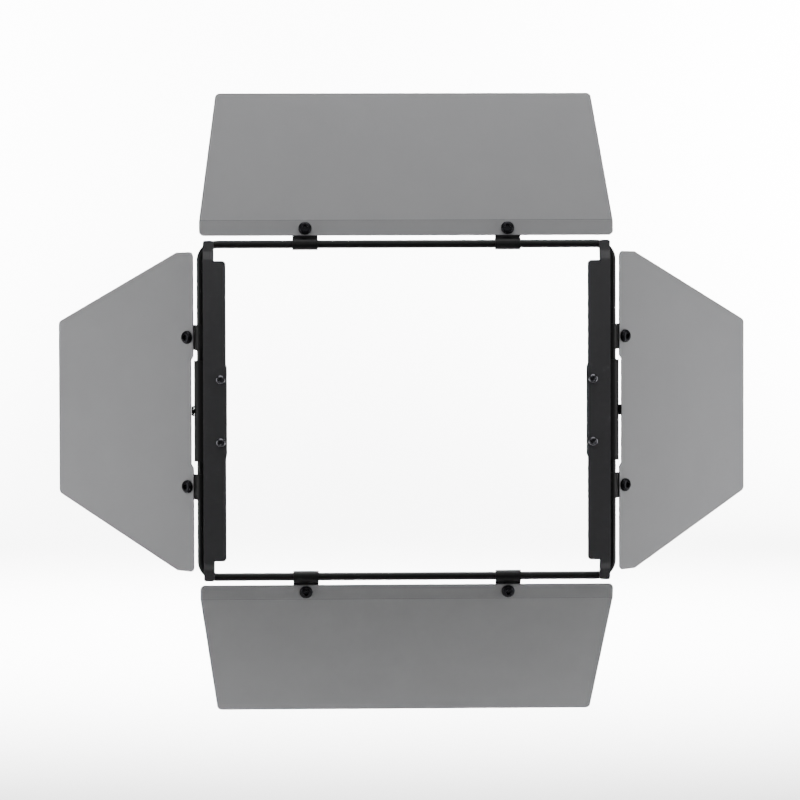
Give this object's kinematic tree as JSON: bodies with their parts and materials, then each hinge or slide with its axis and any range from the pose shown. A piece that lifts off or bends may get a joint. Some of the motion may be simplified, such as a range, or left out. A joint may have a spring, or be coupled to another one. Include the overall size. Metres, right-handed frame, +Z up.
{
  "type": "barn door attachment",
  "caption": "Rounded bar frame with four folding sheet leaves on wrap-round clips and two side plates that slide into a flat panel lamp.",
  "frame": {"origin": "middle of the bar frame, in the plane of the four hinge axes", "axes": "+X to the right along the frame's long side, +Y the way the light goes, +Z up"},
  "size_m": [0.5567, 0.1238, 0.4956],
  "materials": {
    "bar": "satin black coating",
    "strip": "matte black coating",
    "plate": "matte dark grey coating",
    "leaf": "matte grey powder coat",
    "screw": "black oxide",
    "nut": "zinc plated"
  },
  "bodies": {
    "frame": {"bar_frame": "bar", "left_side_plate": "plate", "left_bracket": "strip", "left_plate_screw_1": "screw", "left_plate_screw_2": "screw", "left_plate_nut_1": "nut", "left_plate_nut_2": "nut", "left_clamp_screw": "screw", "right_side_plate": "plate", "right_bracket": "strip", "right_plate_screw_1": "screw", "right_plate_screw_2": "screw", "right_plate_nut_1": "nut", "right_plate_nut_2": "nut", "right_clamp_screw": "screw"},
    "top_leaf": {"top_leaf": "leaf", "top_clip_1": "strip", "top_clip_2": "strip", "top_hinge_screw_1": "screw", "top_hinge_screw_2": "screw", "top_hinge_nut_1": "nut", "top_hinge_nut_2": "nut"},
    "bottom_leaf": {"bottom_leaf": "leaf", "bottom_clip_1": "strip", "bottom_clip_2": "strip", "bottom_hinge_screw_1": "screw", "bottom_hinge_screw_2": "screw", "bottom_hinge_nut_1": "nut", "bottom_hinge_nut_2": "nut"},
    "left_leaf": {"left_leaf": "leaf", "left_clip_1": "strip", "left_clip_2": "strip", "left_hinge_screw_1": "screw", "left_hinge_screw_2": "screw", "left_hinge_nut_1": "nut", "left_hinge_nut_2": "nut"},
    "right_leaf": {"right_leaf": "leaf", "right_clip_1": "strip", "right_clip_2": "strip", "right_hinge_screw_1": "screw", "right_hinge_screw_2": "screw", "right_hinge_nut_1": "nut", "right_hinge_nut_2": "nut"}
  },
  "joints": [
    {"name": "top_leaf_hinge", "type": "hinge", "parent": "frame", "child": "top_leaf", "pos_m": [0, 0, 0.1313], "axis": [-1, 0, 0], "range_deg": [-93.5, 140.5]},
    {"name": "bottom_leaf_hinge", "type": "hinge", "parent": "frame", "child": "bottom_leaf", "pos_m": [0, 0, -0.1313], "axis": [1, 0, 0], "range_deg": [-100, 134]},
    {"name": "left_leaf_hinge", "type": "hinge", "parent": "frame", "child": "left_leaf", "pos_m": [-0.1624, 0, -0.001], "axis": [0, 0, -1], "range_deg": [-120.5, 132.5]},
    {"name": "right_leaf_hinge", "type": "hinge", "parent": "frame", "child": "right_leaf", "pos_m": [0.1624, 0, -0.001], "axis": [0, 0, 1], "range_deg": [-119.5, 133.5]}
  ]
}
